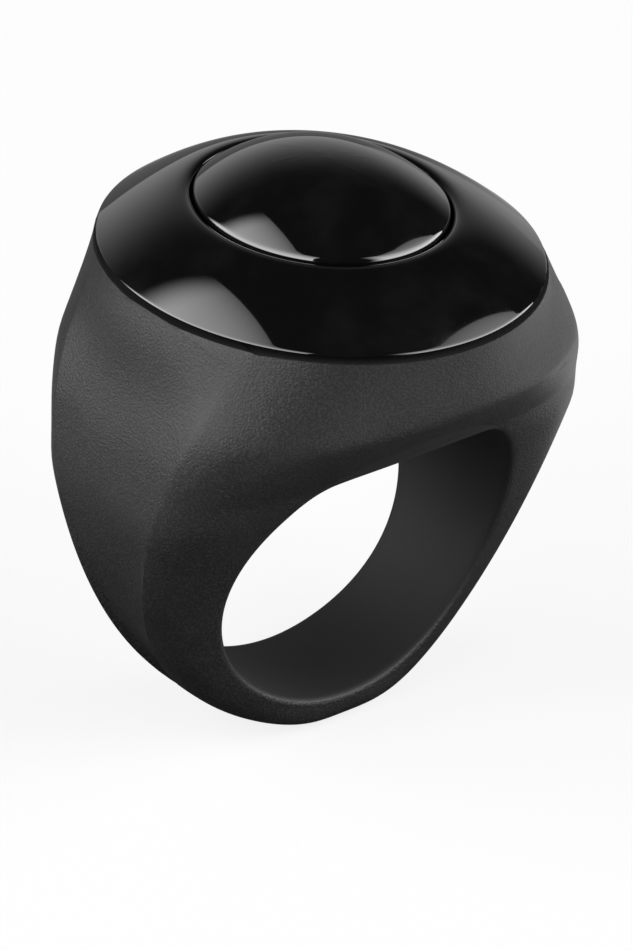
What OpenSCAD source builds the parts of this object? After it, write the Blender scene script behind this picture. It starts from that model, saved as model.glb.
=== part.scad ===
// Training clicker worn as a finger ring: a soft rubber ring whose head holds a small click case.
// Millimetres, +Z up. The origin is the centre of the finger hole, and the finger lies along Y.

/* [Finger hole] */
// Radius of the round part of the hole
hole_r = 11.4; // [9:0.1:13]
// Height of the hole's flat top above its centre
hole_flat = 9.2; // [7:0.1:10.4]
// Rounding where the hole meets the front and back faces
hole_edge = 0.45; // [0.3:0.05:0.9]

/* [Ring] */
// Rubber under the hole, at the foot of the ring
shank_wall = 2.45; // [1.4:0.05:3.5]
// Half width of the band at its foot, along the finger
band_half = 4.4; // [3:0.1:6]
// Half width of the body level with the hole's flat top
neck_half = 10.2; // [8:0.1:12]
// Height of the brow, where the front of the head turns under, above the hole's flat top
brow_h = 4.8; // [3:0.1:6]
// Slope of the front of the head above the brow: 0 is upright
front_slope = 0.25; // [0.1:0.01:0.4]
// How far the shoulders stand out past the rim
shoulder_out = 3.85; // [1:0.05:5]
// Height of the shoulders above the hole's centre
shoulder_z = 7.1; // [4:0.1:11]
// Rubber between the hole's flat top and the case
floor_wall = 3; // [1.5:0.1:5]
// How far the rim of the ring stands out past the bezel
rim_out = 0.2; // [0:0.05:0.5]
// Half width of the side panels at the rim
panel_half = 8.6; // [6:0.1:10]
// Depth of the side panels in the lower half of the ring
panel_depth = 0.5; // [0.2:0.05:0.8]

/* [Bezel] */
// Half size of the bezel across the finger
bezel_x = 13.85; // [12.5:0.05:16]
// Half size of the bezel along the finger
bezel_y = 15.85; // [14.5:0.05:18]
// Width of the bezel's face across the finger, from its edge to the button
bezel_face_x = 5.95; // [5.5:0.05:7]
// Width of the bezel's face along the finger, from its edge to the button
bezel_face_y = 6.7; // [6.2:0.05:7.5]
// Height of the bezel, from its edge to the button
bezel_h = 3.45; // [3:0.05:4.5]
// Height of the upright band round the bezel's edge
bezel_band = 0.15; // [0.1:0.05:0.8]
// Fullness of the bezel's dome: 1 is a straight slope, 2 is a round
bezel_bulge = 1.4; // [1.2:0.1:2.4]
// Thickness of the bezel's inner rim, which holds the button in
inner_rim = 1.5; // [1:0.1:2]
// Dark gap between the bezel and the rubber rim
rim_gap = 0.35; // [0.1:0.05:0.4]

/* [Button] */
// Height of the button's dome over its edge
dome_h = 3.2; // [2:0.1:4]
// Fullness of the button's dome: 2 is a plain round, more is flatter on top
dome_bulge = 2.3; // [1.8:0.1:3]
// Thickness of the button's shell
button_wall = 1.3; // [1:0.1:1.6]
// Travel of the button
travel = 1.5; // [0.8:0.1:1.8]
// Gap between the button and the bezel
button_gap = 0.2; // [0.12:0.02:0.3]
// How far the button's flange reaches under the bezel
flange_out = 0.7; // [0.5:0.05:0.9]
// Thickness of the button's flange
flange_t = 1; // [0.7:0.1:1.2]
// Radius of the stem that presses the leaf
stem_r = 2; // [1.5:0.1:2.5]

/* [Case] */
// How far the bezel stands out past the base pan, across the finger
lip_x = 1.9; // [1.6:0.1:2.4]
// How far the bezel stands out past the base pan, along the finger
lip_y = 3.1; // [2.8:0.1:4]
// Depth of the groove that the rubber lip grips
groove_depth = 0.6; // [0.3:0.05:0.8]
// Height of the groove that the rubber lip grips
groove_h = 1.5; // [1.2:0.1:2]
// Thickness of the base pan's rim
pan_rim = 1.5; // [1.3:0.1:2]
// Depth of the base pan's cup under its rim
cup_h = 4.9; // [4.5:0.1:6]
// Wall of the cup
cup_wall = 1.1; // [0.8:0.1:1.4]
// Floor of the cup
cup_floor = 1.2; // [0.8:0.1:1.8]

/* [Leaf] */
// Width of the spring leaf
leaf_w = 6; // [4:0.1:8]
// Thickness of the spring leaf
leaf_t = 0.3; // [0.2:0.05:0.5]
// Bow that is left in the leaf when the button is down
leaf_left = 0.9; // [0.6:0.1:1.2]
// Length of the flat foot at each end of the leaf
leaf_foot = 2.5; // [2.3:0.1:3]
// Radius of the dimple pressed in the middle of the leaf
dimple_r = 1.5; // [1.1:0.1:1.6]
// Height of the dimple
dimple_h = 0.4; // [0.2:0.05:0.5]
// Height of the ledges that the leaf stands on
ledge_h = 1.4; // [1:0.1:2]

/* [Screws] */
// Radius of the screws' shanks
screw_r = 0.6; // [0.4:0.05:0.7]
// Radius of the screws' heads
screw_head_r = 1.1; // [0.9:0.05:1.2]
// Height of the screws' heads
screw_head_h = 0.8; // [0.6:0.05:1]
// How far a case screw reaches into the bezel
screw_bite = 2.6; // [2:0.1:3]
// Distance of the case screws from the base pan's edge
screw_edge = 1.6; // [1.4:0.05:1.8]
// Direction of the case screws, from the long axis of the oval
screw_angle = 37.5; // [30:0.5:45]

/* [Hidden] */
$fn = 64;

// Clearances
pocket_fit = 0.15;
seat_gap = 0.05;
screw_fit = 0.02;
head_gap = 0.2;
foot_gap = 0.4;
tip_gap = 0.2;
pad_edge = 0.2;
chamber_gap = 0.4;
cut = 1;

// Levels of the case, from the ring's pocket up
pocket_z = hole_flat + floor_wall;
cup_bottom = pocket_z + seat_gap;
cup_inside = cup_bottom + cup_floor;
pan_under = cup_bottom + cup_h;
pan_top = pan_under + pan_rim;
bezel_z = pan_top + groove_h;
rim_z = bezel_z - rim_gap;
bezel_top = bezel_z + bezel_h;
ledge_z = cup_inside + ledge_h;
leaf_bow = travel + leaf_left;
crown_z = ledge_z + leaf_t + leaf_bow + dimple_h;
hold_z = bezel_top - inner_rim;
flange_top = hold_z - seat_gap;
flange_under = flange_top - flange_t;

// Half sizes of the ovals of the case
pan_x = bezel_x - lip_x;
pan_y = bezel_y - lip_y;
button_x = bezel_x - bezel_face_x;
button_y = bezel_y - bezel_face_y;
opening_x = button_x + button_gap;
opening_y = button_y + button_gap;
flange_x = button_x + flange_out;
flange_y = button_y + flange_out;

// Places of the case screws and the cup that fits between them
screw_x = (pan_x - screw_edge) * sin(screw_angle);
screw_y = (pan_y - screw_edge) * cos(screw_angle);
cup_r = norm([screw_x, screw_y]) - screw_head_r - head_gap;
cup_in = cup_r - cup_wall;

// The leaf spans the cup, with room at its corners
leaf_half = sqrt(pow(cup_in, 2) - pow(leaf_w / 2, 2)) - foot_gap;
bow_half = leaf_half - leaf_foot;
pad_half = dimple_r + pad_edge;
bow_steps = 12;
leaf_screw_x = leaf_half - leaf_foot / 2;

// Front view of the ring: two side arcs from the rim round the shoulders, and a foot arc that meets them
rim_x = bezel_x + rim_out;
rim_y = bezel_y + rim_out;
foot_z = -hole_r - shank_wall;
shoulder_x = rim_x + shoulder_out;
rim_rise = rim_z - shoulder_z;
side_r = (pow(shoulder_out, 2) + pow(rim_rise, 2)) / (2 * shoulder_out);
side_cx = shoulder_x - side_r;
side_drop = side_r + foot_z;
foot_cz = (pow(side_drop, 2) - pow(side_cx, 2) - pow(shoulder_z, 2)) / (2 * (side_drop - shoulder_z));
foot_r = foot_cz - foot_z;
join_step = side_r / norm([side_cx, foot_cz - shoulder_z]);
join_x = side_cx - side_cx * join_step;
join_z = shoulder_z + (foot_cz - shoulder_z) * join_step;
brow_z = hole_flat + brow_h;
brow_y = rim_y - front_slope * (rim_z - brow_z);
under_slope = (brow_y - neck_half) / brow_h;
rim_turn = atan2(rim_x, rim_z);
ridge_turn = atan2(rim_x * sqrt(1 - pow(panel_half / rim_y, 2)), rim_z);
corner_gap = 0.2;
last_corner = rim_turn - corner_gap;
join_turn = atan2(join_x, join_z);

// Roundness of the ring's plan: an ellipse at the rim, squarer from the shoulders down
plan_power = 2;
side_power = 4.2;
hole_corner_power = 20;
brow_power = 90;

// Side panels: where they end at the foot, how wide their edge is, and how they fade out
panel_tip = foot_z + 1.4;
panel_step = 0.45;
panel_fade = 8;
tip_fade = 4;
flat_fade = 7;
panel_steps = 4;
least_ridge = 0.35;
least_inset = 0.1;

// Fineness of the ring's and the case's curved skins
top_rays = 8;
corner_rays = 4;
corner_start = 0.05;
side_rays = 42;
neck_steps = 7;
under_steps = 4;
brow_steps = 5;
low_share = 0.08;
high_share = 0.25;
oval_steps = 84;
dome_steps = 10;
search_steps = 20;

function clamp(v) = max(0, min(1, v));

// Half width of the ring in the front view at a height
function ring_half_x(z) = z > join_z
    ? side_cx + sqrt(pow(side_r, 2) - pow(z - shoulder_z, 2))
    : sqrt(max(0, pow(foot_r, 2) - pow(z - foot_cz, 2)));

// Half width of the ring in the side view at a height: it flares from foot to neck, on to the brow, and
// then rises to the rim
function ring_half_y(z) = z > hole_flat
    ? soft_least(
        neck_half + under_slope * (z - hole_flat),
        brow_y + front_slope * (z - brow_z),
        brow_power
    )
    : (band_half + (neck_half - band_half) * neck_share(z)) * foot_round(z);

function neck_share(z) = pow(max(0, z + hole_r) / (hole_flat + hole_r), 2);

function foot_round(z) = z > -hole_r
    ? 1
    : pow(1 - pow(min(1, (-hole_r - z) / shank_wall), side_power), 1 / side_power);

function roundness(z) =
    plan_power + (side_power - plan_power) * pow(clamp((rim_z - z) / (rim_z - shoulder_z)), 2);

// A ray leaves the hole's centre, turned from +Z by an angle. This is how far the front face stands
// from the middle at a distance along it.
function front_y(ray, turn) =
    let (x = ray * sin(turn), z = ray * cos(turn), half = ring_half_x(z), power = roundness(z))
    half <= 0 ? 0 : ring_half_y(z) * pow(1 - pow(min(1, x / half), power), 1 / power);

function hole_ray(turn) = cos(turn) <= 0
    ? hole_r
    : soft_least(hole_r, hole_flat / cos(turn), hole_corner_power);

// The lesser of two lengths, eased where they are alike: a higher power eases less
function soft_least(a, b, power) =
    min(a, b) * pow(1 + pow(min(a, b) / max(a, b), power), -1 / power);

function circle_ray(turn, cx, cz, r) =
    let (along = sin(turn) * cx + cos(turn) * cz)
    along + sqrt(pow(along, 2) - pow(cx, 2) - pow(cz, 2) + pow(r, 2));

function skin_ray(turn) = turn <= rim_turn
    ? rim_z / cos(turn)
    : turn <= join_turn
        ? circle_ray(turn, side_cx, shoulder_z, side_r)
        : circle_ray(turn, 0, foot_cz, foot_r);

// Half width of a side panel at a height, how flat it is, and its depth
function ridge_y(z) = max(least_ridge, panel_half * clamp((z - panel_tip) / (rim_z - panel_tip)));

function panel_flat(z) =
    let (down = clamp((rim_z - z) / flat_fade))
    down * down * (3 - 2 * down);

function panel_dip(z) =
    panel_depth * clamp((shoulder_z - z) / panel_fade) * clamp((z - panel_tip) / tip_fade);

// How far the side stands out at a place along the finger and a height, round and with its panel
function round_x(y, z) =
    let (power = roundness(z))
    ring_half_x(z) * pow(1 - pow(min(1, y / ring_half_y(z)), power), 1 / power);

function panel_x(y, z) =
    let (full = round_x(y, z))
    full - (full - round_x(ridge_y(z), z)) * panel_flat(z);

// Halving search for the place on a ray where the front face meets the ridge of the side panel
function ridge_ray(turn, low, high, steps) =
    let (middle = (low + high) / 2)
    steps == 0
        ? middle
        : front_y(middle, turn) > ridge_y(middle * cos(turn))
            ? ridge_ray(turn, middle, high, steps - 1)
            : ridge_ray(turn, low, middle, steps - 1);

// Halving search for the place on a ray where it leaves the side panel, at y from the middle
function panel_ray(turn, y, low, high, steps) =
    let (middle = (low + high) / 2)
    steps == 0
        ? middle
        : middle * sin(turn) < panel_x(y, middle * cos(turn))
            ? panel_ray(turn, y, middle, high, steps - 1)
            : panel_ray(turn, y, low, middle, steps - 1);

// Where a ray passes a height, kept some way apart from both of its ends
function bend_ray(turn, z, low, high) =
    let (span = high - low)
    max(low + low_share * span, min(high - high_share * span, cos(turn) > 0 ? z / cos(turn) : high));

// Half of the section on one ray, as [distance, half width] from the hole's wall to the side panel. Rays
// towards the front of the rim end at its edge, rays towards its sides cross the panel first.
function half_section(turn) =
    let (
        inner = hole_ray(turn),
        outer = skin_ray(turn),
        start = inner + hole_edge,
        wall = front_y(start, turn),
        on_front = turn < ridge_turn,
        on_side = turn > last_corner,
        end = on_front ? outer : ridge_ray(turn, start, outer, search_steps),
        neck = bend_ray(turn, hole_flat, start, end),
        brow = bend_ray(turn, brow_z, neck, end),
        front_rays = concat(
            [for (i = [0:neck_steps - 1]) start + (neck - start) * i / neck_steps],
            [for (i = [0:under_steps - 1]) neck + (brow - neck) * i / under_steps],
            [for (i = [0:brow_steps]) brow + (end - brow) * i / brow_steps]
        ),
        ridge = front_y(end, turn),
        rim_edge = on_side ? 0 : front_y(outer, turn),
        first = on_front
            ? ridge * panel_steps / (panel_steps + 1)
            : max(least_inset, (ridge + rim_edge) / 2, ridge - panel_step),
        last = on_front || on_side ? first / panel_steps : rim_edge
    )
    concat(
        [
            [inner, wall - hole_edge],
            [inner + hole_edge * (1 - cos(45)), wall - hole_edge * (1 - sin(45))]
        ],
        [for (ray = front_rays) [ray, front_y(ray, turn)]],
        [
            for (i = [0:panel_steps - 1])
                let (y = first + (last - first) * i / (panel_steps - 1))
                [on_front ? outer : panel_place(turn, y, end, outer), y]
        ]
    );

function panel_place(turn, y, low, high) =
    let (ray = panel_ray(turn, y, low, high, search_steps))
    ray - panel_dip(ray * cos(turn));

// Whole section on one ray, as points in space
function section(turn) =
    let (
        side = turn > 180 ? -1 : 1,
        bend = turn > 180 ? 360 - turn : turn,
        half = half_section(bend),
        inner = hole_ray(bend),
        outer = bend > last_corner ? half[len(half) - 1][0] : skin_ray(bend),
        flat = concat(
            [[inner, 0]],
            [for (p = half) [p[0], -p[1]]],
            [[outer, 0]],
            [for (i = [len(half) - 1:-1:0]) half[i]]
        )
    )
    [for (p = flat) [side * p[0] * sin(bend), p[1], p[0] * cos(bend)]];

// Faces of a skin made of closed rings that themselves close into a loop
function loop_faces(rings, points) = [
    for (i = [0:rings - 1], j = [0:points - 1], upper = [0, 1])
        let (
            k = (i + 1) % rings,
            m = (j + 1) % points,
            a = i * points + j,
            b = i * points + m,
            c = k * points + m,
            d = k * points + j
        )
        upper == 0 ? [a, b, c] : [a, c, d]
];

// Spacing of the rays over the rim's corners: closer towards the sides
function corner_share(share) = corner_start + (1 - corner_start) * sin(90 * share);

module ring_skin() {
    half_turns = concat(
        [for (i = [0:top_rays - 1]) ridge_turn * (i + 0.5) / top_rays],
        [for (i = [0:corner_rays]) ridge_turn + (last_corner - ridge_turn) * corner_share(i / corner_rays)],
        [for (i = [0:side_rays - 1]) rim_turn + (180 - rim_turn) * i / (side_rays - 0.5)]
    );
    last = len(half_turns) - 1;
    turns = concat(half_turns, [for (i = [last:-1:0]) 360 - half_turns[i]]);
    sections = [for (turn = turns) section(turn)];
    polyhedron(
        points = [for (s = sections) each s],
        faces = loop_faces(len(sections), len(sections[0])),
        convexity = 8
    );
}

// Oval outline of the given half sizes
function oval(x, y) = [
    for (i = [0:oval_steps - 1])
        let (turn = 360 * i / oval_steps)
        [x * cos(turn), y * sin(turn)]
];

module oval_block(x, y, bottom, top) {
    translate([0, 0, bottom])
        linear_extrude(top - bottom)
            polygon(oval(x, y));
}

// Oval moulding swept from a closed profile of [half x, half y, height]
module oval_sweep(profile) {
    polyhedron(
        points = [for (p = profile) each [for (q = oval(p[0], p[1])) [q[0], -q[1], p[2]]]],
        faces = loop_faces(len(profile), oval_steps),
        convexity = 8
    );
}

// Oval moulding closed by a flat oval at each end of its profile
module oval_loft(profile) {
    last = (len(profile) - 1) * oval_steps;
    rings = len(profile);
    polyhedron(
        points = [for (p = profile) each [for (q = oval(p[0], p[1])) [q[0], -q[1], p[2]]]],
        faces = concat(
            [
                for (i = [0:rings - 2], j = [0:oval_steps - 1], upper = [0, 1])
                    let (m = (j + 1) % oval_steps, a = i * oval_steps, b = a + oval_steps)
                    upper == 0 ? [a + j, a + m, b + m] : [a + j, b + m, b + j]
            ],
            [[for (j = [oval_steps - 1:-1:0]) j], [for (j = [0:oval_steps - 1]) last + j]]
        ),
        convexity = 8
    );
}

// Soft rubber ring: the rubber lip at the pocket's mouth grips the groove round the case
module ring_body() {
    seat_x = pan_x + pocket_fit;
    seat_y = pan_y + pocket_fit;
    color("dimgray")
        difference() {
            ring_skin();
            translate([0, 0, pocket_z])
                cylinder(r = cup_r + pocket_fit, h = rim_z - pocket_z + cut);
            oval_block(seat_x, seat_y, pan_under - pocket_fit, pan_top + pocket_fit);
            oval_block(seat_x - groove_depth, seat_y - groove_depth, pan_top, rim_z + cut);
        }
}

// Glossy cover: a domed oval ring with a groove under its edge and a chamber for the button's flange
module bezel() {
    edge = 0.4;
    neck_x = pan_x - groove_depth;
    neck_y = pan_y - groove_depth;
    chamber_x = flange_x + chamber_gap;
    chamber_y = flange_y + chamber_gap;
    profile = concat(
        [[neck_x, neck_y, pan_top], [neck_x, neck_y, bezel_z], [bezel_x, bezel_y, bezel_z]],
        [
            for (i = [dome_steps:-1:0])
                let (
                    out = sin(90 * i / dome_steps),
                    x = opening_x + edge + (bezel_x - opening_x - edge) * out,
                    y = opening_y + edge + (bezel_y - opening_y - edge) * out
                )
                [x, y, bezel_top - (bezel_h - bezel_band) * pow(out, bezel_bulge)]
        ],
        [
            for (turn = [45, 90])
                let (out = edge * (1 - sin(turn)), down = edge * (1 - cos(turn)))
                [opening_x + out, opening_y + out, bezel_top - down]
        ],
        [[opening_x, opening_y, hold_z], [chamber_x, chamber_y, hold_z], [chamber_x, chamber_y, pan_top]]
    );
    color("black")
        difference() {
            oval_sweep(profile);
            case_screw_places()
                translate([0, 0, pan_top - cut])
                    cylinder(r = screw_r + screw_fit, h = screw_bite + seat_gap + cut);
        }
}

// Glossy push button: a hollow dome with a flange that holds it in, and a stem over the leaf
module button() {
    edge = 0.3;
    edge_share = 0.99;
    tip_share = 0.04;
    inside_x = button_x - button_wall;
    inside_y = button_y - button_wall;
    outer = concat(
        [[flange_x, flange_y, flange_under], [flange_x, flange_y, flange_top]],
        [[button_x, button_y, flange_top], [button_x, button_y, bezel_top - edge]],
        [
            for (i = [dome_steps:-1:0])
                let (out = max(tip_share, edge_share * sin(90 * i / dome_steps)))
                [button_x * out, button_y * out, dome_z(out)]
        ]
    );
    color("black") {
        difference() {
            oval_loft(outer);
            oval_block(inside_x, inside_y, flange_under - cut, bezel_top - button_wall);
        }
        translate([0, 0, crown_z + seat_gap])
            cylinder(r = stem_r, h = bezel_top - button_wall - crown_z);
    }
}

// Height of the button's dome at a share of its half size
function dome_z(share) = bezel_top + dome_h * (1 - pow(share, dome_bulge));

// Lower case: an oval rim that closes the bezel's groove, and a cup with two ledges for the leaf
module base_pan() {
    color("darkslategray")
        difference() {
            union() {
                oval_block(pan_x, pan_y, pan_under, pan_top - seat_gap);
                translate([0, 0, cup_bottom])
                    cylinder(r = cup_r, h = pan_top - seat_gap - cup_bottom);
            }
            translate([0, 0, ledge_z])
                cylinder(r = cup_in, h = pan_top - ledge_z + cut);
            translate([0, 0, cup_inside])
                linear_extrude(ledge_h + cut)
                    intersection() {
                        circle(r = cup_in);
                        square([2 * bow_half, 2 * cup_in], center = true);
                    }
            case_screw_places() {
                translate([0, 0, pan_under - cut])
                    cylinder(r = screw_r + screw_fit, h = pan_rim + 2 * cut);
                translate([0, 0, pan_under - cut])
                    cylinder(r = screw_head_r + screw_fit, h = screw_head_h + cut);
            }
            translate([-leaf_screw_x, 0, cup_inside - tip_gap])
                cylinder(r = screw_r + screw_fit, h = tip_gap + ledge_h + cut);
        }
}

// Spring-steel leaf: two flat feet, a bow between them, and a dimple pressed in the flat pad on top
module click_leaf() {
    slope = [
        for (i = [0:bow_steps])
            let (share = i / bow_steps)
            [bow_half - (bow_half - pad_half) * share, leaf_bow * (1 - cos(180 * share)) / 2]
    ];
    top = concat(
        [[leaf_half, 0]],
        slope,
        [for (i = [bow_steps:-1:0]) [-slope[i][0], slope[i][1]]],
        [[-leaf_half, 0]]
    );
    outline = concat([for (p = top) p + [0, leaf_t]], [for (i = [len(top) - 1:-1:0]) top[i]]);
    dimple_ball = (pow(dimple_r, 2) + pow(dimple_h, 2)) / (2 * dimple_h);
    color("silver")
        difference() {
            union() {
                translate([0, leaf_w / 2, ledge_z])
                    rotate([90, 0, 0])
                        linear_extrude(leaf_w)
                            polygon(outline);
                intersection() {
                    translate([0, 0, crown_z - dimple_ball])
                        sphere(r = dimple_ball);
                    translate([0, 0, ledge_z + leaf_bow + leaf_t / 2])
                        cylinder(r = dimple_r + leaf_t, h = leaf_t + dimple_h);
                }
            }
            translate([0, 0, crown_z - dimple_ball])
                sphere(r = dimple_ball - leaf_t);
            translate([-leaf_screw_x, 0, ledge_z - cut])
                cylinder(r = screw_r + screw_fit, h = leaf_t + 2 * cut);
        }
}

// Screw that stands on its point, with its head's seat at height zero
module screw(length) {
    slot_w = 0.35;
    slot_depth = 0.35;
    difference() {
        union() {
            translate([0, 0, -length])
                cylinder(r = screw_r, h = length + screw_head_h / 2);
            cylinder(r = screw_head_r, h = screw_head_h);
        }
        translate([-screw_head_r - cut, -slot_w / 2, screw_head_h - slot_depth])
            cube([2 * (screw_head_r + cut), slot_w, slot_depth + cut]);
    }
}

module leaf_screw() {
    color("lightgray")
        translate([-leaf_screw_x, 0, ledge_z + leaf_t])
            screw(leaf_t + ledge_h);
}

module case_screw_places() {
    for (x = [-screw_x, screw_x], y = [-screw_y, screw_y])
        translate([x, y, 0])
            children();
}

module case_screws() {
    color("lightgray")
        case_screw_places()
            translate([0, 0, pan_under + screw_head_h])
                rotate([180, 0, 0])
                    screw(pan_rim - screw_head_h + screw_bite);
}

ring_body();
bezel();
button();
base_pan();
click_leaf();
leaf_screw();
case_screws();
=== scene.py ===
# %% [markdown]
# # A training clicker worn as a ring
# The object is a soft rubber finger ring. Its oval head holds a small click case, and all that shows of
# the case is a glossy bezel and a domed push button. The solids come from the CAD model and already have
# the right shapes, so this lesson is about turning hard triangles into smooth moulded skins, about two
# kinds of black (dull rubber and polished plastic), and about the lamps that tell them apart.

# %% Load the CAD frame
import math

import bpy
from mathutils import Matrix, Vector


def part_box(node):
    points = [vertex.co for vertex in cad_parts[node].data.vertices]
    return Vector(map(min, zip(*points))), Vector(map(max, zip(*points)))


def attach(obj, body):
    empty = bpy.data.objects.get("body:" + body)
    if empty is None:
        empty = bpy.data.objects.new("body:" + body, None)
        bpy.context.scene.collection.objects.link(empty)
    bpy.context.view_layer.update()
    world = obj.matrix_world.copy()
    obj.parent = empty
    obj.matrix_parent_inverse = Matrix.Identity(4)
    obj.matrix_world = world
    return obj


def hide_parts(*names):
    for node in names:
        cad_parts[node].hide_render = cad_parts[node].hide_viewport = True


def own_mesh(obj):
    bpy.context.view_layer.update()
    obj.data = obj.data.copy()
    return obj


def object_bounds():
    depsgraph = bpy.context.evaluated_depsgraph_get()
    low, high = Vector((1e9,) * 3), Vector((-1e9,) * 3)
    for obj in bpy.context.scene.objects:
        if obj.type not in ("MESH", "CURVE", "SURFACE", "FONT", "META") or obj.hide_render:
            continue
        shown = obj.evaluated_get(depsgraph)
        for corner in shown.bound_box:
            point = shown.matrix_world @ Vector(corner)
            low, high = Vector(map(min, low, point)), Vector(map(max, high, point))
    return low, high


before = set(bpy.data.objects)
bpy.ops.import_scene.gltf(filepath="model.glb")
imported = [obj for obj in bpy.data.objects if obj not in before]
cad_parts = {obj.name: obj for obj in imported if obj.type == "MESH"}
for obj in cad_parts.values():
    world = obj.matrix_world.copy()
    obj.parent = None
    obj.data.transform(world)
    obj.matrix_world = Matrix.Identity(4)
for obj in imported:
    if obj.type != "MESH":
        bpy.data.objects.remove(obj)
cad_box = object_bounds()
MM = 0.001
print("CAD nodes:", sorted(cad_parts))
print("CAD box in mm:", [[round(v / MM, 2) for v in corner] for corner in cad_box])

# %% [markdown]
# ## A small language for nodes
# A material is a graph of nodes, and so are a world and a lamp. The nodes could be added one by one with
# a line for every link, but sums are easier to read as sums. So `Wire` holds one output of one node and
# lets Python's operators add the Math nodes.

# %% Wires
class Wire:
    """One output of a node, which can be used in sums."""

    def __init__(self, graph, socket):
        self.graph = graph
        self.socket = socket

    def math(self, operation, first, second):
        return self.graph.node("ShaderNodeMath", {"operation": operation}, {0: first, 1: second})

    def __add__(self, other):
        return self.math("ADD", self, other)

    def __radd__(self, other):
        return self.math("ADD", other, self)

    def __sub__(self, other):
        return self.math("SUBTRACT", self, other)

    def __rsub__(self, other):
        return self.math("SUBTRACT", other, self)

    def __mul__(self, other):
        return self.math("MULTIPLY", self, other)

    def __rmul__(self, other):
        return self.math("MULTIPLY", other, self)

    def __pow__(self, other):
        return self.math("POWER", self, other)


print("Wire can add, subtract, multiply and raise")

# %% [markdown]
# ## Graphs
# `Graph` fills any node tree. Its one method `node` adds any kind of node: first its settings, then the
# values or wires of its inputs. Two more methods are for what every tree here needs: the three numbers of
# a vector, and a soft step from one value to another.

# %% Graphs
class Graph:
    """A node tree under construction."""

    def __init__(self, tree):
        self.tree = tree

    def node(self, kind, settings, sockets, output=0):
        made = self.tree.nodes.new(kind)
        for key, value in settings.items():
            setattr(made, key, value)
        for key, value in sockets.items():
            self.feed(made.inputs[key], value)
        return Wire(self, made.outputs[output])

    def feed(self, socket, value):
        if isinstance(value, Wire):
            self.tree.links.new(value.socket, socket)
        else:
            socket.default_value = value

    def axes(self, vector):
        """The three numbers of a vector."""
        split = self.node("ShaderNodeSeparateXYZ", {}, {0: vector}).socket.node
        return [Wire(self, number) for number in split.outputs]

    def step(self, value, start, end, low=0.0, high=1.0):
        """A smooth step from low to high while value goes from start to end."""
        return self.node(
            "ShaderNodeMapRange",
            {"interpolation_type": "SMOOTHSTEP"},
            {"Value": value, "From Min": start, "From Max": end, "To Min": low, "To Max": high},
        )


print("Graph can fill a material, a world or a lamp")

# %% [markdown]
# ## Finishes
# A finish is a material with one Principled shader. `Finish` adds to a graph what surfaces need: the
# place of a point on the piece, cloudy noise of a size in millimetres, a blend of two colours and a bump.
# All patterns read Object coordinates. They could follow a UV map, but a moulded skin has no weave that
# runs along it.

# %% Finishes
class Finish(Graph):
    """A material with one main shader."""

    def __init__(self, name):
        self.material = bpy.data.materials.new(name)
        self.material.use_nodes = True
        super().__init__(self.material.node_tree)
        self.shader = self.tree.nodes["Principled BSDF"]

    def set(self, **values):
        for key, value in values.items():
            self.feed(self.shader.inputs[key.replace("_", " ")], value)

    def place(self):
        """Object coordinates, in metres, as a vector."""
        return self.node("ShaderNodeTexCoord", {}, {}, "Object")

    def noise(self, grain_mm, detail=2.0, rough=0.5, stretch=(1, 1, 1)):
        """Cloudy noise whose lumps are about grain_mm across."""
        spread = self.node("ShaderNodeMapping", {}, {"Vector": self.place(), "Scale": stretch})
        scale = 1 / (grain_mm * MM)
        return self.node(
            "ShaderNodeTexNoise",
            {},
            {"Vector": spread, "Scale": scale, "Detail": detail, "Roughness": rough},
        )

    def blend(self, share, first, second):
        """One colour turning into another."""
        return self.node(
            "ShaderNodeMix", {"data_type": "RGBA"}, {"Factor": share, "A": first, "B": second}, "Result"
        )

    def bump(self, height, depth_mm, strength):
        """A normal that is tilted by a height."""
        return self.node(
            "ShaderNodeBump", {}, {"Height": height, "Distance": depth_mm * MM, "Strength": strength}
        )

    def cover(self, *pieces):
        """Puts the finish on pieces, in place of what they had."""
        for piece in pieces:
            piece.data.materials.clear()
            piece.data.materials.append(self.material)
        print(self.material.name, "has", len(self.tree.nodes), "nodes")


def grey(level):
    return (level, level, level, 1)


print("Finish can cover pieces, and grey makes its colours")

# %% [markdown]
# ## From triangles to moulded skins
# A CAD mesh is made of loose triangles, one per facet. A smooth skin could be modelled again from a
# primitive, but the CAD already has every curve of this ring, and a second model would only drift from
# it. So each visible part is a copy of its node, treated as a retopology job: weld the corners, join
# triangles into quads, crease the edges that are meant to stay crisp, and let a subdivision surface round
# off the rest.

# %% A helper that copies a node and smooths it
WELD = 0.002 * MM
QUAD_ANGLE = math.radians(60)


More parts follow.
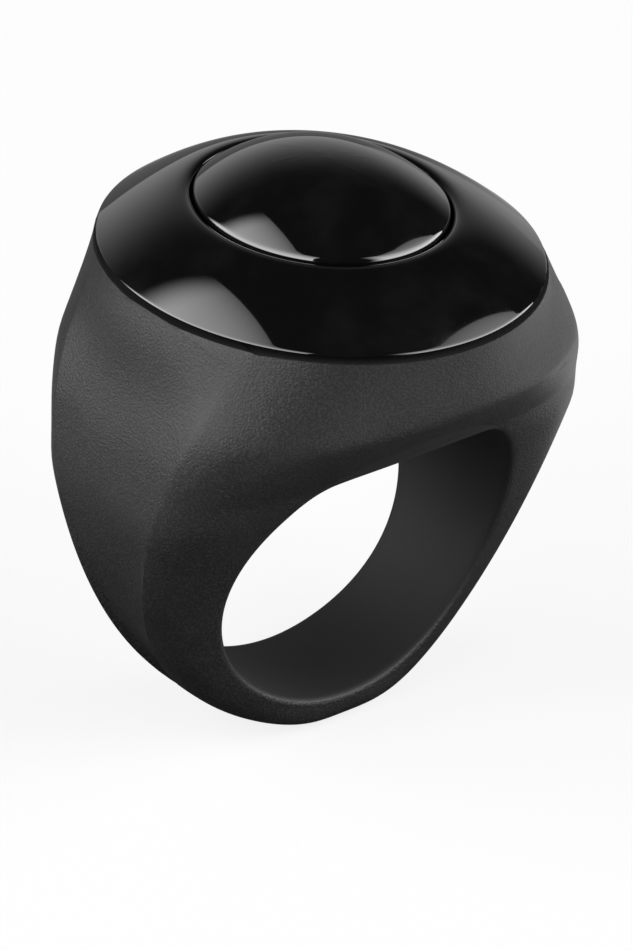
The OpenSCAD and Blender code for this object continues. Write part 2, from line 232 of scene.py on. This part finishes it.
def smooth_copy(node, piece, body, sharp_degrees, levels, creases=()):
    """A welded and subdivided copy of a CAD node, which stands for it on a body."""
    bpy.ops.object.select_all(action="DESELECT")
    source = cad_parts[node]
    source.select_set(True)
    bpy.context.view_layer.objects.active = source
    bpy.ops.object.duplicate()
    copy = bpy.context.view_layer.objects.active
    copy.name = piece
    copy.data.name = piece
    copy.parent = None
    for key in list(copy.keys()):
        del copy[key]
    bpy.ops.object.mode_set(mode="EDIT")
    bpy.ops.mesh.select_all(action="SELECT")
    bpy.ops.mesh.remove_doubles(threshold=WELD)
    bpy.ops.mesh.customdata_custom_splitnormals_clear()
    bpy.ops.mesh.tris_convert_to_quads(face_threshold=QUAD_ANGLE, shape_threshold=QUAD_ANGLE)
    bpy.ops.mesh.select_mode(type="EDGE")
    for degrees, hold in creases:
        bpy.ops.mesh.select_all(action="DESELECT")
        bpy.ops.mesh.edges_select_sharp(sharpness=math.radians(degrees))
        bpy.ops.transform.edge_crease(value=hold)
    bpy.ops.object.mode_set(mode="OBJECT")
    if levels:
        skin = copy.modifiers.new("skin", "SUBSURF")
        skin.levels = levels
        skin.render_levels = levels
        bpy.ops.object.modifier_apply(modifier=skin.name)
    bpy.ops.object.shade_smooth_by_angle(angle=math.radians(sharp_degrees))
    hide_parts(node)
    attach(copy, body)
    print(piece, "has", len(copy.data.polygons), "faces")
    return copy


print("points closer than", round(WELD / MM, 4), "mm are welded")

# %% [markdown]
# ## The rubber ring, the bezel and the button
# These are the three mouldings that show. On the ring, the ridges of the side panels are soft corners and
# the rim under the bezel is a sharp one. A subdivision surface alone would melt both. Bevels could hold
# them, but would add faces all round, so creases do it: most of the hold on every corner over 14 degrees,
# and the rest of it on those over 50. The bezel and the button are round all over and need none.

# %% The three mouldings
RIDGE_CREASE = (14, 0.7)
RIM_CREASE = (50, 0.3)
CREASES = [RIDGE_CREASE, RIM_CREASE]

ring = smooth_copy("ring_body", "rubber_ring", "ring", sharp_degrees=50, levels=1, creases=CREASES)
bezel = smooth_copy("bezel", "glossy_bezel", "ring", sharp_degrees=40, levels=1)
button = smooth_copy("button", "glossy_button", "button", sharp_degrees=40, levels=1)

# %% [markdown]
# ## A fine line round the button
# The button runs in an oval hole in the bezel. The CAD model leaves free play round it, and on the
# moulded part only a hairline shows. The bezel could be cut anew with a smaller oval, but its wall and
# rounded corner are already there. So all points inside an oval a little wider than the hole are picked
# by their place and drawn in towards the button. Scaling about the middle axis does it in one step.

# %% The bezel's hole
BUTTON_HOLE = Vector((8.1 * MM, 9.35 * MM))
CORNER = 0.2 * MM
DRAW_IN = 0.12 * MM

bpy.ops.object.select_all(action="DESELECT")
bezel.select_set(True)
bpy.context.view_layer.objects.active = bezel
bpy.ops.object.mode_set(mode="EDIT")
bpy.ops.mesh.select_mode(type="VERT")
bpy.ops.mesh.select_all(action="DESELECT")
bpy.ops.object.mode_set(mode="OBJECT")
for point in bezel.data.vertices:
    share_x = point.co.x / (BUTTON_HOLE.x + CORNER)
    share_y = point.co.y / (BUTTON_HOLE.y + CORNER)
    point.select = math.hypot(share_x, share_y) < 1
bpy.ops.object.mode_set(mode="EDIT")
narrower = (1 - DRAW_IN / BUTTON_HOLE.x, 1 - DRAW_IN / BUTTON_HOLE.y, 1)
bpy.ops.transform.resize(value=narrower, center_override=(0, 0, 0))
bpy.ops.object.mode_set(mode="OBJECT")
print(sum(point.select for point in bezel.data.vertices), "points of the bezel's hole drawn in")

# %% [markdown]
# ## The spring leaf
# Inside the case a bowed steel leaf stands under the button. It flattens when the button goes down, so it
# can't stay a rigid CAD node. Shape keys could bend it, but nobody sees it bend: here it becomes a copy
# with a mesh of its own.

# %% The leaf, copied with a mesh of its own
leaf = smooth_copy("click_leaf", "steel_leaf", "ring", sharp_degrees=30, levels=0)
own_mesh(leaf)

# %% [markdown]
# ## Where the rubber differs, and where shade is painted
# The ring is moulded in black silicone rubber. The wall of the finger hole came off a polished core pin,
# so it is smoother and darker than the outside. The narrow face under the bezel sees no light, so it is
# painted nearly black as painted shade, and the gap over it reads as a black line. Both places could be
# separate materials, but they are one moulding, so two masks worked out from a point's place tell them
# apart: its distance from the hole's axis, and its share of the oval.

# %% Places on the rubber
HOLE_R = 11.4 * MM
WALL_START = HOLE_R + 0.3 * MM
WALL_END = HOLE_R + 0.1 * MM
ring_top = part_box("ring_body")[1].z
bezel_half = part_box("bezel")[1]
FACE_START = ring_top - 0.12 * MM
FACE_END = ring_top - 0.04 * MM
OVAL_START = 1.006
OVAL_END = 0.998

rubber = Finish("soft_rubber")
across, along, up = rubber.axes(rubber.place())
from_axis = (across * across + up * up) ** 0.5
hole_wall = rubber.step(from_axis, WALL_START, WALL_END)
oval_x = across * (1 / bezel_half.x)
oval_y = along * (1 / bezel_half.y)
oval_share = (oval_x * oval_x + oval_y * oval_y) ** 0.5
rim_face = rubber.step(up, FACE_START, FACE_END)
# Painted shade: this mask colours the face under the bezel and the gap over it nearly black.
painted_shade_under_bezel = rubber.step(oval_share, OVAL_START, OVAL_END) * rim_face
print("the face under the bezel starts", round(FACE_START / MM, 2), "mm up")

# %% [markdown]
# ## Soft matte rubber
# The mould was blasted with grit, so the outside has a fine frosted grain: small pebbles with a finer
# frost on them, whose tips carry pale specks of painted glint. An image of rubber would repeat and blur
# close up, and noise doesn't. The same grain drives the colour and the bump, so the painted glints sit on
# the tips.

# %% Rubber
RUBBER_BLACK = grey(0.010)
RUBBER_CLOUDED = grey(0.013)
# Pale specks on the grain tips: painted glints.
PAINTED_GLINT = grey(0.036)
PAINTED_GLINT_SHARE = 0.5
WALL_BLACK = grey(0.009)
# Painted shade for the face under the bezel and the gap over it.
GAP_PAINTED_SHADE = grey(0.0005)
FROST_SHARE = 0.25
GRAIN_DEPTH_MM = 0.048
RUBBER_DULL = 0.45
WALL_DULLER = 0.25
GAP_DULLER = 0.4
FROST_VARIES = 0.2
WALL_POLISH = 0.85

pebble = rubber.noise(0.15, detail=1.0, rough=0.6)
frost = rubber.noise(0.07, detail=2.0)
cloud = rubber.noise(4.0, detail=3.0)
grain = pebble * (1 - FROST_SHARE) + frost * FROST_SHARE
tone = rubber.blend(rubber.step(cloud, 0.3, 0.7), RUBBER_BLACK, RUBBER_CLOUDED)
# Painted glints: pale specks on the tips of the grain.
with_painted_glints = rubber.blend(rubber.step(grain, 0.45, 0.62) * PAINTED_GLINT_SHARE, tone, PAINTED_GLINT)
dullness = RUBBER_DULL + hole_wall * WALL_DULLER + painted_shade_under_bezel * GAP_DULLER
with_wall = rubber.blend(hole_wall, with_painted_glints, WALL_BLACK)
# Under the bezel the base colour is painted shade.
rubber.set(
    Base_Color=rubber.blend(painted_shade_under_bezel, with_wall, GAP_PAINTED_SHADE),
    Roughness=dullness + (frost - 0.5) * FROST_VARIES,
    Specular_IOR_Level=0.38,
    Normal=rubber.bump(grain * (1 - hole_wall * WALL_POLISH), GRAIN_DEPTH_MM, 1.0),
)
rubber.cover(ring)

# %% [markdown]
# ## Polished black plastic
# The bezel and the button are moulded in a polished tool, so they are mirrors with almost no colour of
# their own. A plain glossy shader would do from afar, but a mirror is never perfect: handling leaves faint
# smears that dull it in patches, dust dulls single specks, and the moulding sinks by about a hundredth of
# a millimetre here and there, which bends the reflected lamps slightly. A coat over the base makes the
# reflection as deep as that of real gloss.

# %% Gloss
GLOSS_BLACK = grey(0.0025)
SMEARED_BLACK = grey(0.005)
PLASTIC_IOR = 1.6
SINK_DEPTH_MM = 0.03
POLISH = 0.04
SMEAR_DULLS = 0.06
DUST_DULLS = 0.1

gloss = Finish("polished_plastic")
smear = gloss.noise(5.0, detail=4.0, rough=0.6)
dust = gloss.noise(0.12, detail=1.0)
sink = gloss.noise(7.0, detail=1.0)
smeared = gloss.step(smear, 0.45, 0.75) * SMEAR_DULLS
dusty = gloss.step(dust, 0.68, 0.75) * DUST_DULLS
gloss.set(
    Base_Color=gloss.blend(gloss.step(smear, 0.4, 0.7), GLOSS_BLACK, SMEARED_BLACK),
    Roughness=POLISH + smeared + dusty,
    IOR=PLASTIC_IOR,
    Coat_IOR=PLASTIC_IOR,
    Coat_Weight=1.0,
    Coat_Roughness=0.03,
    Normal=gloss.bump(sink, SINK_DEPTH_MM, 0.5),
)
gloss.cover(bezel, button)

# %% [markdown]
# ## The case inside
# The base pan is moulded in satin plastic. Nobody sees it until the case is opened, but the model may be
# used that way, so it gets a finish of its own and not a copy of the gloss: a fine grain that also varies
# the roughness, over faint clouds of tone.

# %% Satin case
CASE_BLACK = grey(0.025)
CASE_CLOUDED = grey(0.038)
CASE_GRAIN_DEPTH_MM = 0.01
CASE_DULL = 0.42
CASE_VARIES = 0.15

satin = Finish("satin_case_plastic")
satin_grain = satin.noise(0.15, detail=2.0)
satin_cloud = satin.noise(3.0)
satin.set(
    Base_Color=satin.blend(satin_cloud, CASE_BLACK, CASE_CLOUDED),
    Roughness=CASE_DULL + satin_grain * CASE_VARIES,
    Normal=satin.bump(satin_grain, CASE_GRAIN_DEPTH_MM, 0.4),
)
satin.cover(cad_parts["base_pan"])

# %% [markdown]
# ## Two steels
# The leaf is rolled strip with fine lines along its length, and the screws are plated. Both are bare
# metal, and only their brightness and the run of their lines differ, so one function makes both. Noise
# that is stretched along one axis gives the lines. An anisotropic shader could streak the light too, but
# the noise also gives the bump.

# %% Steel
LINE_DEPTH_MM = 0.003
STEEL_DULL = 0.24
LINES_DULL = 0.18


def steel(name, bright, dull, stretch):
    """Bare metal whose fine lines run along the axis with the smallest number in stretch."""
    made = Finish(name)
    lines = made.noise(0.08, detail=3.0, stretch=stretch)
    stain = made.noise(2.0, detail=2.0)
    made.set(
        Base_Color=made.blend(stain, grey(dull), grey(bright)),
        Metallic=1.0,
        Roughness=STEEL_DULL + lines * LINES_DULL,
        Normal=made.bump(lines, LINE_DEPTH_MM, 0.5),
    )
    return made


strip_steel = steel("rolled_strip_steel", 0.62, 0.5, (0.05, 1, 1))
strip_steel.cover(leaf)
plated_steel = steel("plated_screw_steel", 0.58, 0.46, (1, 1, 0.3))
plated_steel.cover(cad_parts["leaf_screw"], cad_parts["case_screws"])

# %% [markdown]
# ## The camera
# The camera stands a little to the left of the front and thirty degrees above it, far away with a long
# lens, so the oval of the bezel is hardly distorted. It is turned by a degree and a half, as a hand-set
# tripod is. A Track To constraint could aim it, but can't roll it, so its matrix is built from its three
# directions.

# %% Camera
BEZEL_EDGE = 20.15 * MM
TURN = math.radians(38.663)
RISE = math.radians(29.738)
ROLL = math.radians(1.596)
DISTANCE = 421.49 * MM
OFFSET_RIGHT = -0.2493 * MM
OFFSET_UP = -14.8145 * MM
LENS = 246.7
SENSOR_WIDTH = 36
NEAREST = 0.01
FARTHEST = 20

level_right = Vector((math.cos(TURN), -math.sin(TURN), 0))
ahead = Vector((math.sin(TURN) * math.cos(RISE), math.cos(TURN) * math.cos(RISE), -math.sin(RISE)))
level_up = level_right.cross(ahead)
right = level_right * math.cos(ROLL) + level_up * math.sin(ROLL)
upward = level_up * math.cos(ROLL) - level_right * math.sin(ROLL)
stand = Vector((0, 0, BEZEL_EDGE)) + right * OFFSET_RIGHT + upward * OFFSET_UP - ahead * DISTANCE

camera = bpy.data.objects.new("camera", bpy.data.cameras.new("camera"))
bpy.context.scene.collection.objects.link(camera)
camera.data.lens = LENS
camera.data.sensor_width = SENSOR_WIDTH
camera.data.clip_start = NEAREST
camera.data.clip_end = FARTHEST
camera.matrix_world = Matrix.Translation(stand) @ Matrix((right, upward, -ahead)).transposed().to_4x4()
bpy.context.scene.camera = camera
print("camera at", [round(v / MM, 1) for v in stand], "mm")

# %% [markdown]
# ## The lamps
# Black gloss shows nothing but its surroundings, so the lamps are drawn for their reflections. Two
# upright soft panels stand left and right of the camera with a dark gap between them. They draw the pale
# crescents at the front edges of the bezel and of the button. Small spots would only give dots. A soft
# panel is brightest low down, near its bulbs, and dims at the end of its cloth, so its nodes fade it
# towards the top and at one end. The place on an area lamp comes from the Parametric output of a Geometry
# node.

# %% Lamps
REACH = 0.5
FOOT_GLOW = 1.6
GLOW_LOST = 1.4


def soft_panel(name, turn, first, last, top, radiance, fade_share):
    """A panel that faces the ring, between two turns to its sides, from the bezel up to a rise."""
    facing = math.radians(turn)
    start = math.tan(math.radians(first)) * REACH
    end = math.tan(math.radians(last)) * REACH
    height = math.tan(math.radians(top)) * REACH
    way = Vector((math.sin(facing), math.cos(facing), 0))
    side = Vector((math.cos(facing), -math.sin(facing), 0))
    data = bpy.data.lights.new(name, "AREA")
    data.shape = "RECTANGLE"
    data.size = end - start
    data.size_y = height
    data.energy = radiance * math.pi * data.size * data.size_y
    data.use_nodes = True
    cloth = Graph(data.node_tree)
    spread, rise = cloth.axes(cloth.node("ShaderNodeNewGeometry", {}, {}, "Parametric"))[:2]
    brightness = cloth.step(spread, 0.0, fade_share) * (FOOT_GLOW - rise * GLOW_LOST)
    cloth.feed(cloth.tree.nodes["Emission"].inputs["Color"], brightness)
    lamp = bpy.data.objects.new(name, data)
    bpy.context.scene.collection.objects.link(lamp)
    lamp.location = way * REACH + side * (start + end) / 2 + Vector((0, 0, BEZEL_EDGE + height / 2))
    lamp.rotation_mode = "QUATERNION"
    lamp.rotation_quaternion = (-way).to_track_quat("-Z", "Y")
    lamp.visible_camera = False
    print(name, "gives", round(data.energy, 2), "W")


soft_panel("left_panel", turn=-78, first=-42, last=54, top=65, radiance=3.1, fade_share=0.25)
soft_panel("right_panel", turn=166, first=-72, last=24, top=65, radiance=3.3, fade_share=0.1)

# %% [markdown]
# ## The room
# The room overhead is dark, and a pale backdrop behind the ring gives the far side of the bezel its grey
# sheen. A picture of a studio could light it, but two soft steps on the direction of a ray are enough.
# The camera itself sees white everywhere: the Light Path node tells its rays apart from the light that
# falls on the ring.

# %% World
BACKDROP_EAST = 0.45
BACKDROP_NORTH = 0.89
BACKDROP_LIGHT = 0.4
ROOM_LIGHT = 0.01

world = bpy.data.worlds.new("studio")
bpy.context.scene.world = world
world.use_nodes = True
room = Graph(world.node_tree)
east, north, height = room.axes(room.node("ShaderNodeTexCoord", {}, {}, "Generated"))
behind = room.step(east * BACKDROP_EAST + north * BACKDROP_NORTH, 0.6, 1.0, 0.0, BACKDROP_LIGHT)
low_down = room.step(height, 0.0, 0.9, 1.0, 0.0)
room_light = behind * low_down + ROOM_LIGHT
camera_sees = room.node("ShaderNodeLightPath", {}, {}, "Is Camera Ray")
room.feed(room.tree.nodes["Background"].inputs["Color"], camera_sees + (1 - camera_sees) * room_light)
print("the room has", len(room.tree.nodes), "nodes")

# %% [markdown]
# ## The floor
# To the camera the floor is white paper, which keeps the ring's soft shadow close by and is plain white
# farther off. White paper right under the ring would fill the shaded underside of its head, which is
# nearly black on the real one. So to all other rays the floor is dark round the ring and pale beyond,
# brighter to the front right, and it fades away from there. A dark block under the ring could do the
# same, but the camera would see it.

# %% Floor
FLOOR_SIZE = 6.0
PATCH_EDGE = (32 * MM, 42 * MM)
GLOW_FADE = (50 * MM, 140 * MM)
GLOW_LEFT_OVER = 0.3
FRONT_RIGHT = 0.7
TURN_WIDTH = 35 * MM
BACK_GLOW = 0.35
FRONT_GLOW = 1.1
FLOOR_LIGHT = 0.9
PATCH_LIGHT = 0.03
SHADOW_EDGE = (100 * MM, 300 * MM)
SHADOWED_WHITE = 0.8
PAPER = grey(0.8)
WHITE = grey(1)

bpy.ops.object.select_all(action="DESELECT")
bpy.ops.mesh.primitive_plane_add(size=FLOOR_SIZE, location=(0, 0, cad_box[0].z))
floor = bpy.context.view_layer.objects.active
floor.name = "floor"
paper = Finish("white_paper")
floor_x, floor_y = paper.axes(paper.place())[:2]
from_ring = (floor_x * floor_x + floor_y * floor_y) ** 0.5
outside = paper.step(from_ring, *PATCH_EDGE) * paper.step(from_ring, *GLOW_FADE, 1.0, GLOW_LEFT_OVER)
to_front_right = floor_x * FRONT_RIGHT - floor_y * FRONT_RIGHT
forward = paper.step(to_front_right, 0.0, TURN_WIDTH, BACK_GLOW, FRONT_GLOW)
floor_light = outside * forward * FLOOR_LIGHT + PATCH_LIGHT
lighting = paper.node("ShaderNodeEmission", {}, {"Color": floor_light, "Strength": 1.0})
shadowed = paper.node("ShaderNodeBsdfDiffuse", {}, {"Color": PAPER})
plain = paper.node("ShaderNodeEmission", {}, {"Color": WHITE, "Strength": 1.0})
plain_share = paper.step(from_ring, *SHADOW_EDGE, SHADOWED_WHITE, 1.0)
white = paper.node("ShaderNodeMixShader", {}, {0: plain_share, 1: shadowed, 2: plain})
seen = paper.node("ShaderNodeLightPath", {}, {}, "Is Camera Ray")
shown = paper.node("ShaderNodeMixShader", {}, {0: seen, 1: lighting, 2: white})
paper.feed(paper.tree.nodes["Material Output"].inputs["Surface"], shown)
paper.cover(floor)

# %% [markdown]
# ## Ready to render
# Standard colour keeps the blacks black.

# %% Finish
bpy.context.scene.view_settings.view_transform = "Standard"
